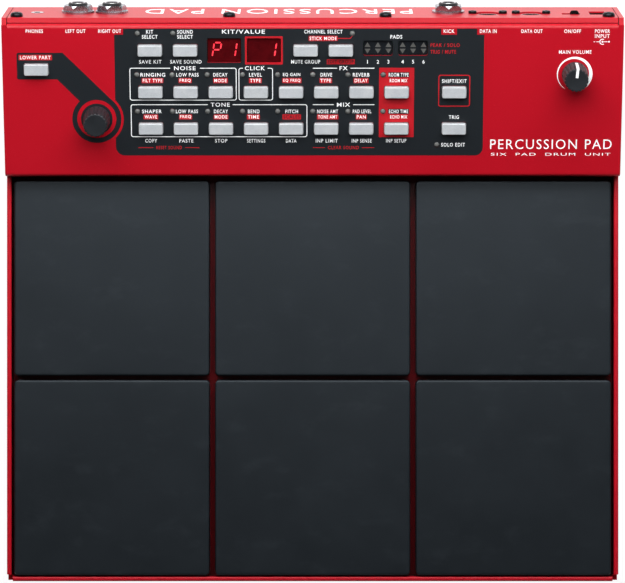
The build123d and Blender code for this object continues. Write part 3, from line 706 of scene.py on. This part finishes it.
def dark_strips():
    """Black strips and words on the red plates."""
    middle = COLUMNS[LAST] + 1.2
    strip_width = 11.6
    layers = []
    for up in (UPPER_FIRST, LOWER_FIRST):
        layers.append(printed_mesh([around((middle, up), strip_width, PLATE_HEIGHT)], ON_STRIP))
    words, shift, width = LOWER_SHIFTED[DARK_WORD]
    layers.append(text_mesh(words, COLUMNS[DARK_WORD] + shift, LOWER_SECOND, SMALL, width, ON_STRIP))
    layers.append(text_mesh("EDIT GROUP", *EDIT_PLATE, SMALL, 14.4, ON_STRIP))
    return print_on(PANEL, "panel_print_dark", layers, INK_BLACK)


def control_words():
    """Every white word beside a control, as (words, across, up, height, width)."""
    rows = []
    for words_of, up, height in (
        (UPPER_WORDS, UPPER_FIRST, LABEL), (UPPER_SHIFTED, UPPER_SECOND, SMALL),
        (LOWER_WORDS, LOWER_FIRST, LABEL), (LOWER_SHIFTED, LOWER_SECOND, SMALL),
        (BELOW_WORDS, BELOW_ROW, LABEL),
    ):
        for index, (words, shift, width) in enumerate(words_of):
            if words_of is not LOWER_SHIFTED or index != DARK_WORD:
                rows.append((words, COLUMNS[index] + shift, up, height, width))
    shift = BUTTONS["button_shift"]
    trigger = BUTTONS["button_trigger"]
    kit, sound = BUTTONS["button_kit_select"][0], BUTTONS["button_sound_select"][0]
    mute = BUTTONS["button_mute_group"][0]
    first_line, second_line = 82.3, 79.5
    rows += [
        ("KIT", kit, first_line, LABEL, 3.9), ("SELECT", kit, second_line, LABEL, 8.7),
        ("SOUND", sound, first_line, LABEL, 8.7), ("SELECT", sound, second_line, LABEL, 8.7),
        ("SAVE KIT", kit + 0.1, UNDER_TOP_ROW, LABEL, 12.5),
        ("SAVE SOUND", sound + 0.3, UNDER_TOP_ROW, LABEL, 17.5),
        ("CHANNEL SELECT", 5.9, 82.4, LABEL, 21.3), ("STICK MODE", *STICK_PLATE, SMALL, 15.0),
        ("MUTE GROUP", mute, UNDER_TOP_ROW, LABEL, 16.1), ("PADS", 46.3, second_line, LABEL, 6.6),
        ("SHIFT/EXIT", shift[0], shift[1] + 6.1, LABEL, 13.7),
        ("TRIG", trigger[0], trigger[1] + 6.35, LABEL, 5.6),
        ("SOLO EDIT", 78.5, 17.9, LABEL, 13.3), ("LOWER PART", *LOWER_LABEL, LABEL, 17.0),
    ]
    headers = [
        ("KIT/VALUE", -38.3, 82.4, HEADER, 23.8), ("NOISE", -71.0, UPPER_HEADERS, HEADER, 12.0),
        ("CLICK", -32.1, UPPER_HEADERS, HEADER, 11.1), ("FX", 17.2, UPPER_HEADERS, HEADER, 4.6),
        ("TONE", -51.5, LOWER_HEADERS, HEADER, 10.6), ("MIX", 17.2, LOWER_HEADERS, HEADER, 7.4),
    ]
    numbers = [(str(pad), across, UNDER_TOP_ROW, LABEL, None) for pad, across in enumerate(meter_marks(), 1)]
    return rows + headers + numbers


def meter_marks():
    """The six places of the meters' arrows."""
    pitch = 5.8
    return [middle[0] + pitch * step for middle in METERS for step in (-1, 0, 1)]


def volume_arc(thinnest=0.1, thickest=2.3, outer=9.9, start=238, end=-49, steps=72):
    """A line round the volume knob that grows wider clockwise."""
    inner = []
    for step in range(steps + 1):
        radius = outer - thinnest - (thickest - thinnest) * step / steps
        inner.append(arc(VOLUME, radius, start + (end - start) * step / steps, 0, 1)[0])
    return arc(VOLUME, outer, start, end, steps) + inner[::-1]


def power_symbol():
    """The plain polarity symbol beside the power label: minus, ring, dot, plus."""
    across, up = 160.6, BACK_ROW - 6.0
    line = 0.35
    open_ring = arc((across, up), 1.7, 60, 300, 20) + arc((across, up), 1.25, 300, 60, 20)
    strokes = ((-3.4, -1.9), (0.8, 2.8), (-5.0, -4.0))
    bars = [bar(across + start, across + end, up, line) for start, end in strokes]
    return [open_ring, circle((across, up), 0.55, 16), *bars, circle((across + 3.6, up), 0.5, 12)]


def white_print():
    """White words, boxes and lines on the panel."""
    upper_top, lower_top = UPPER_HEADERS + 0.2, LOWER_HEADERS + 0.2
    upper_bottom, lower_bottom = 43.3, 22.3
    lines = [
        frame_line(-101.8, upper_bottom, -42.3, upper_top, -79.2, -62.6),
        frame_line(-41.2, upper_bottom, -22.1, upper_top, -38.8, -25.0),
        frame_line(-101.4, lower_bottom, -3.0, lower_top, -58.4, -44.6),
        bar(0.1, 13.6, UPPER_HEADERS), bar(21.0, 34.3, UPPER_HEADERS),
        bar(0.1, 11.8, LOWER_HEADERS), bar(22.6, 34.4, LOWER_HEADERS),
    ]
    layers = [printed_mesh(lines, ON_RED)]
    layers.append(printed_mesh([volume_arc()] + power_symbol(), INK_THICKNESS))
    for words, across, up, height, width in control_words():
        layers.append(text_mesh(words, across, up, height, width, ON_TOP))
    for words, across, width in (
        ("PHONES", -154.1, 9.6), ("LEFT OUT", -131.3, 11.0), ("RIGHT OUT", -112.4, 12.7),
        ("KICK", 75.5, 6.0),
        ("DATA IN", 97.2, 9.3), ("DATA OUT", 121.4, 11.7), ("ON/OFF", 143.9, 9.3), ("POWER", 160.4, 8.3),
    ):
        layers.append(text_mesh(words, across, BACK_ROW, LABEL, width, ON_TOP))
    layers.append(text_mesh("INPUT", 160.4, BACK_ROW - 2.8, LABEL, 8.2, INK_THICKNESS))
    layers.append(text_mesh("MAIN VOLUME", VOLUME[0], VOLUME[1] + 12.6, LABEL, 18.0, INK_THICKNESS))
    title = 133.2
    layers.append(text_mesh("PERCUSSION PAD", title, 18.2, 5.6, 68.0, INK_THICKNESS, weight=0.0))
    layers.append(text_mesh("SIX  PAD  DRUM  UNIT", title, 12.4, 1.6, 67.0, INK_THICKNESS, weight=0.0))
    return print_on(PANEL, "panel_print_white", layers, INK_WHITE)


def rear_print():
    """The large plain lettering on the connector wall."""
    layers = [text_mesh("PERCUSSION PAD", 19.0, 21.0, 19.0, 150.0, INK_THICKNESS, weight=0.0)]
    return print_on(REAR, "rear_print_white", layers, INK_WHITE)


black_print()
red_print()
dark_strips()
white_print()
rear_print()


# ---------------------------------------------------------------- displays and meters

WINDOW_DEPTH = 0.9
SEGMENTS = {"P": "abefg", "1": "bc", " ": ""}


def digit(across, up, width=3.95, height=8.0, line=0.85, gap=0.35, slant=0.16):
    """The seven segments of a digit, by letter, as slanted six-sided bars."""
    right, top = width / 2, height / 2
    joints_of = {
        "a": ((-right, top), (right, top)), "b": ((right, top), (right, 0)),
        "c": ((right, 0), (right, -top)), "d": ((-right, -top), (right, -top)),
        "e": ((-right, 0), (-right, -top)), "f": ((-right, top), (-right, 0)),
        "g": ((-right, 0), (right, 0)),
    }
    bars = {}
    for letter, (start, end) in joints_of.items():
        start, end = Vector(start), Vector(end)
        along = (end - start).normalized()
        side = Vector((-along.y, along.x)) * line / 2
        first, last = start + along * gap, end - along * gap
        near, far = first + along * line / 2, last - along * line / 2
        outline = [first, near + side, far + side, last, far - side, near - side]
        bars[letter] = [(across + p.x + slant * p.y, up + p.y) for p in outline]
    return bars


DIGIT_OFFSET = 4.32
DIGIT_SHIFT = (0.18, 0.2)
ARROW_ROWS = ((74.9, 1.35), (71.2, -1.35))  # place up the panel, and from there to the point
ARROW_HALF = 1.65


def value_digits():
    """Two slanted seven-segment digits in each window, and the arrows of the level meters."""
    lit, dim = [], []
    for (middle, height), word in zip(DISPLAYS, ("P1", " 1")):
        for side, letter in zip((-1, 1), word):
            across, up = middle + DIGIT_SHIFT[0] + side * DIGIT_OFFSET, height + DIGIT_SHIFT[1]
            for name, outline in digit(across, up).items():
                (lit if name in SEGMENTS[letter] else dim).append(outline)
    lift = INK_THICKNESS
    window = Face(PANEL.at(0, 0, -WINDOW_DEPTH), PANEL.across, PANEL.out)
    print_on(window, "display_segments_dim", [printed_mesh(dim, lift)], DIM_SEGMENT)
    print_on(window, "display_segments_lit", [printed_mesh(lit, lift)], LIT)
    arrows = []
    for across in meter_marks():
        for middle, rise in ARROW_ROWS:
            base, point = middle - rise, middle + rise
            arrows.append([(across - ARROW_HALF, base), (across + ARROW_HALF, base), (across, point)])
    print_on(window, "meter_arrows", [printed_mesh(arrows, lift)], METER_MARK)


value_digits()


# ---------------------------------------------------------------- pads and their foam


def soft_slab(centre, bottom, top, half, corner, edge, crown):
    """A slab in metres with a round top edge and a faintly crowned top, as rings of rounded squares."""
    bm = bmesh.new()
    edge_steps = 6
    chamfer_width, chamfer_height = 0.3, 0.4
    profile = [(bottom, chamfer_width), (bottom + chamfer_height, 0.0)]
    for step in range(edge_steps + 1):
        angle = math.pi / 2 * step / edge_steps
        profile.append((top - edge + edge * math.sin(angle), edge * (1 - math.cos(angle))))
    inner = (2, 5, 10, 18, 28, 40)
    profile += [(top + crown * (1 - (1 - inset / half) ** 2), inset) for inset in inner]
    rings = []
    for height, inset in profile:
        outline = offset_rectangle(half, half, corner, inset)
        rings.append(ring(bm, [(centre[0] + x * MM, centre[1] + y * MM, height * MM) for x, y in outline]))
    close_stack(bm, rings)
    return bm


def pads():
    for number in range(1, 7):
        node = f"pad_{number}_skin"
        low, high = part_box(node)
        centre = middle_of(node)[:2]
        half = (high[0] - low[0]) / 2 / MM
        bm = soft_slab(centre, low[2] / MM, high[2] / MM, half, corner=2.3, edge=0.9, crown=0.15)
        pad = add_piece(f"pad_{number}_rubber", bm, RUBBER, f"pad_{number}")
        smooth_by_angle(pad, 50)
        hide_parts(node)


def foam_sheet(centre, bottom, top, half, hole):
    """A square foam sheet in metres with a round hole and soft edges."""
    bm = bmesh.new()
    steps = 64
    angles = [2 * math.pi * step / steps for step in range(steps)]

    def square(inset):
        reach = half - inset
        return [reach / max(abs(math.cos(a)), abs(math.sin(a))) for a in angles]

    def loop(radii, height):
        return ring(bm, [(centre[0] + r * MM * math.cos(a), centre[1] + r * MM * math.sin(a), height * MM)
                         for r, a in zip(radii, angles)])

    soft = 0.4
    rings = [
        loop([hole + soft] * steps, bottom), loop(square(soft), bottom), loop(square(0), bottom + soft),
        loop(square(0), top - soft), loop(square(soft), top), loop([hole + soft] * steps, top),
        loop([hole] * steps, top - soft), loop([hole] * steps, bottom + soft),
    ]
    close_loop(bm, rings)
    return bm


def pad_foam():
    low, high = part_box("pad_foam")
    for number in range(1, 7):
        centre = middle_of(f"pad_{number}_plate")[:2]
        bm = foam_sheet(centre, low[2] / MM, high[2] / MM, half=52.0, hole=20.0)
        foam = add_piece(f"pad_{number}_foam", bm, FOAM, "chassis")
        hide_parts("pad_foam")
        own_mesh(foam)


pads()
pad_foam()


# ---------------------------------------------------------------- knobs


def knob(name, place, bottom_radius, top_radius, flutes=18):
    """A tapering fluted knob with a round shoulder and a slightly dished top."""
    bm = bmesh.new()
    steps = flutes * 8
    low, high = 0.8, 15.5
    depth = 0.58

    def radius_at(height):
        return bottom_radius + (top_radius - bottom_radius) * (height - low) / (high - low)

    def fluted(height, inset, share):
        points = []
        for step in range(steps):
            angle = 2 * math.pi * step / steps
            groove = max(0.0, math.cos(flutes * angle)) ** 1.5
            radius = radius_at(height) - inset - depth * share * groove
            across, up = place[0] + radius * math.cos(angle), place[1] + radius * math.sin(angle)
            points.append(PANEL.at(across, up, height))
        return ring(bm, points)

    bore, bore_depth = 3.2, 9.0
    rings = [fluted(low + bore_depth, bottom_radius - bore, 0), fluted(low, bottom_radius - bore, 0),
             fluted(low, 0.5, 0), fluted(low + 0.4, 0.0, 0), fluted(low + 1.4, 0.0, 0)]
    rings += [fluted(low + 1.9, 0.0, 0.6), fluted(low + 2.4, 0.0, 1)]
    shoulder, shoulder_steps = 0.6, 5
    fade = 0.2  # how much shallower the flutes are where they meet the top
    for step in range(shoulder_steps + 1):
        share = step / shoulder_steps
        angle = math.pi / 2 * share
        height = high - shoulder + shoulder * math.sin(angle)
        rings.append(fluted(height, shoulder * (1 - math.cos(angle)), 1 - fade * share))
    rings += [fluted(high - 0.1, 1.7, 0), fluted(high - 0.16, 3.4, 0)]
    close_stack(bm, rings)
    piece = add_piece(f"{name}_grip", bm, KNOB, name)
    smooth_by_angle(piece, 40)
    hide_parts(f"{name}_knob")
    return piece


def pointer():
    """The white line on the volume knob: across its top and down its side, just past twelve o'clock."""
    bm = bmesh.new()
    half = 0.75
    sunk_in, sunk_down = 0.5, 0.3  # how far the line reaches into the knob
    turn = math.radians(-5)
    profile = [(1.4, 15.36), (3.2, 15.40), (4.9, 15.46), (5.75, 15.52), (6.05, 15.5), (6.3, 15.43),
               (6.48, 15.26), (6.59, 15.0), (6.64, 14.5), (6.67, 14.0), (6.76, 12.0), (6.89, 9.0),
               (7.02, 6.0), (7.14, 3.4)]
    lift = 0.07
    edge_radius, edge_height = 5.7, 15.0  # raised outwards beyond this radius, upwards above this height
    outer = [(r + (lift if r > edge_radius else 0), h + (lift if h > edge_height else 0)) for r, h in profile]
    rows = []
    for (r, h), (r_out, h_out) in zip(profile, outer):
        r_in, h_in = r - sunk_in, h - sunk_down
        corners = ((-half, r_in, h_in), (half, r_in, h_in), (half, r_out, h_out), (-half, r_out, h_out))
        row = []
        for x, y, height in corners:
            across = x * math.cos(turn) - y * math.sin(turn)
            up = x * math.sin(turn) + y * math.cos(turn)
            row.append(bm.verts.new(PANEL.at(VOLUME[0] + across, VOLUME[1] + up, height)))
        rows.append(row)
    close_stack(bm, rows)
    return add_piece("volume_pointer", bm, INK_WHITE, "volume")


knob("encoder", ENCODER, 7.6, 6.6)
knob("volume", VOLUME, 7.25, 6.6)
pointer()


# ---------------------------------------------------------------- fittings on the connector wall


def lathe(face, middle, profile, steps=40):
    """A closed ring turned about a point on a face, from the (radius, out) pairs of its section."""
    bm = bmesh.new()
    rings = []
    for radius, out in profile:
        points = [face.at(middle[0] + x, middle[1] + y, out) for x, y in circle((0, 0), radius, steps)]
        rings.append(ring(bm, points))
    close_loop(bm, rings)
    return bm


JACK_PROUD = 5.6
SOCKET_RECESS = 1.2


def socket_rings():
    """Bright ferrules in the mouths of the jacks and metal shells in the round sockets."""
    end = JACK_PROUD
    for mount in ("line_out_left", "line_out_right", "kick_trigger_in"):
        middle = REAR.local(mounts[mount]["pos_m"])
        profile = [(3.35, end - 1.0), (3.35, end + 0.1), (3.6, end + 0.22), (4.1, end + 0.18),
                   (4.2, end - 0.2)]
        bm = lathe(REAR, middle, profile)
        smooth_by_angle(add_piece(f"{mount}_ferrule", bm, NICKEL, "chassis"), 50)
    face = -SOCKET_RECESS
    for mount in ("control_data_in", "control_data_out"):
        middle = REAR.local(mounts[mount]["pos_m"])
        profile = [(6.25, face - 5.0), (6.25, face + 0.08), (6.4, face + 0.2), (6.75, face + 0.18),
                   (6.9, face + 0.05), (6.9, face - 0.2), (6.5, face - 5.0)]
        bm = lathe(REAR, middle, profile, 56)
        smooth_by_angle(add_piece(f"{mount}_shell", bm, NICKEL, "chassis"), 50)


def spans(face, node):
    """How far a CAD node reaches across, up and out of a face: three (low, high) pairs in millimetres."""
    holder = frame["nodes"][node]
    offsets = [(holder.matrix_world @ vertex.co - face.origin) / MM for vertex in holder.data.vertices]
    return [(min(o.dot(way) for o in offsets), max(o.dot(way) for o in offsets))
            for way in (face.across, face.up, face.out)]


def slider_grip():
    """The power switch's black grip: a domed key on its wider base."""
    (left, right), (bottom, top), (back, front) = spans(REAR, "power_slider")
    middle = ((left + right) / 2, (bottom + top) / 2)
    base_half = ((right - left) / 2, (top - bottom) / 2)
    grip_half = (2.4, 2.2)
    corner = 0.6
    base_top = back + 1.4
    edge = 0.3
    dome = 1.7
    profile = [(base_half, back, edge), (base_half, back + edge, 0.0), (base_half, base_top - edge, 0.0),
               (base_half, base_top, edge), (grip_half, base_top, 0.0), (grip_half, front - dome, 0.0)]
    dome_steps = 6
    for step in range(1, dome_steps + 1):
        angle = math.pi / 2 * step / dome_steps
        profile.append((grip_half, front - dome + dome * math.sin(angle), dome * (1 - math.cos(angle))))
    bm = bmesh.new()
    rings = []
    for half, out, inset in profile:
        outline = offset_rectangle(*half, corner, inset, 6)
        rings.append(ring(bm, [REAR.at(middle[0] + x, middle[1] + y, out) for x, y in outline]))
    close_stack(bm, rings)
    grip = add_piece("power_slider_grip", bm, SOCKET_PLASTIC, "slider")
    smooth_by_angle(grip, 40)
    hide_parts("power_slider")


socket_rings()
slider_grip()


# ---------------------------------------------------------------- carried CAD nodes


def paint_nodes():
    named = {
        "base_tray": RED, "top_cover": RED, "rubber_feet": FOOT, "pad_sensors": BRASS,
        "control_board": BOARD, "connector_board": BOARD, "tact_switches": BLACK_PLASTIC,
        "status_leds": LED, "value_displays": DISPLAY, "level_meters": METER, "rotary_bodies": STEEL,
        "encoder_shaft": STEEL, "volume_shaft": STEEL, "line_jacks": BLACK_PLASTIC, "phones_jack": NICKEL,
        "jack_nuts": NUT_NICKEL, "din_sockets": SOCKET_PLASTIC, "dc_socket": SOCKET_PLASTIC,
        "power_switch": BLACK_PLASTIC, "power_slider": BLACK_PLASTIC, "cover_screws": BLACK_SCREW,
        "din_screws": BLACK_SCREW, "pad_foam": FOAM, "encoder_knob": KNOB, "volume_knob": KNOB,
    }
    for node in frame["nodes"]:
        if node in named:
            paint(node, named[node])
        elif node.startswith("button_"):
            paint(node, CAP)
        elif node.endswith("_plate"):
            paint(node, STEEL)
        else:
            paint(node, RUBBER)


paint_nodes()


# ---------------------------------------------------------------- floor, light and camera


def floor():
    size = 3.0
    mesh = bpy.data.meshes.new("floor")
    corners = [(x, y, 0) for x, y in ((-size, -size), (size, -size), (size, size), (-size, size))]
    mesh.from_pydata(corners, [], [(0, 1, 2, 3)])
    paper = Surface("floor_paper", 0.9, specular=0.1)
    paper.colour(paper.ramp(paper.noise(0.3, 2), 0.3, 0.7, srgb(120, 120, 121), srgb(126, 126, 126)))
    glow = paper.ramp(paper.noise(0.3, 2), 0.3, 0.7, srgb(251, 251, 252), srgb(254, 254, 254))
    paper.links.new(glow, paper.shader.inputs["Emission Color"])
    paper.shader.inputs["Emission Strength"].default_value = 0.92
    mesh.materials.append(paper.material)
    piece = bpy.data.objects.new("floor", mesh)
    bpy.context.collection.objects.link(piece)


def softbox(name, place, target, width, height, power):
    light = bpy.data.lights.new(name, "AREA")
    light.shape = "RECTANGLE"
    light.size = width
    light.size_y = height
    light.energy = power
    lamp = bpy.data.objects.new(name, light)
    lamp.location = place
    lamp.rotation_euler = (Vector(target) - Vector(place)).to_track_quat("-Z", "Y").to_euler()
    bpy.context.collection.objects.link(lamp)


def studio():
    """A soft key light above the controls, a low one behind, weak ones at both sides, and a dim room."""
    softbox("key_light", (0.0, 0.42, 0.8), target=(0, 0.1, 0.03), width=1.0, height=0.5, power=5.1)
    softbox("low_light", (0.0, 0.58, 0.5), target=(0, 0.05, 0.02), width=1.2, height=0.3, power=6.0)
    for side, name in ((-1, "left_light"), (1, "right_light")):
        softbox(name, (side, 0.3, 0.75), target=(0, 0, 0.02), width=0.6, height=0.8, power=0.5)
    world = bpy.data.worlds.new("room")
    world.use_nodes = True
    background = world.node_tree.nodes["Background"]
    background.inputs["Color"].default_value = (1, 1, 1, 1)
    background.inputs["Strength"].default_value = 0.04
    bpy.context.scene.world = world
    bpy.context.scene.view_settings.view_transform = "Standard"


def camera():
    """Straight down on the pads from 1.9 m above the tray's side walls, with the back edge uppermost."""
    lens = bpy.data.cameras.new("camera")
    lens.sensor_width = 36
    lens.lens = 194.05  # the picture is 352 mm wide at that distance
    lens.clip_start = 0.05
    eye = bpy.data.objects.new("camera", lens)
    distance = 1.9
    pad_proud = 0.001  # about how far the pads' tops stand above the side walls
    aside, behind = -0.0001, 0.0002  # the lens is this far off the tray's middle
    wall_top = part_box("pad_1_skin")[1][2] - pad_proud
    eye.location = (aside, behind, wall_top + distance)
    eye.rotation_euler = (0, 0, 0)
    bpy.context.collection.objects.link(eye)
    bpy.context.scene.camera = eye


floor()
studio()
camera()
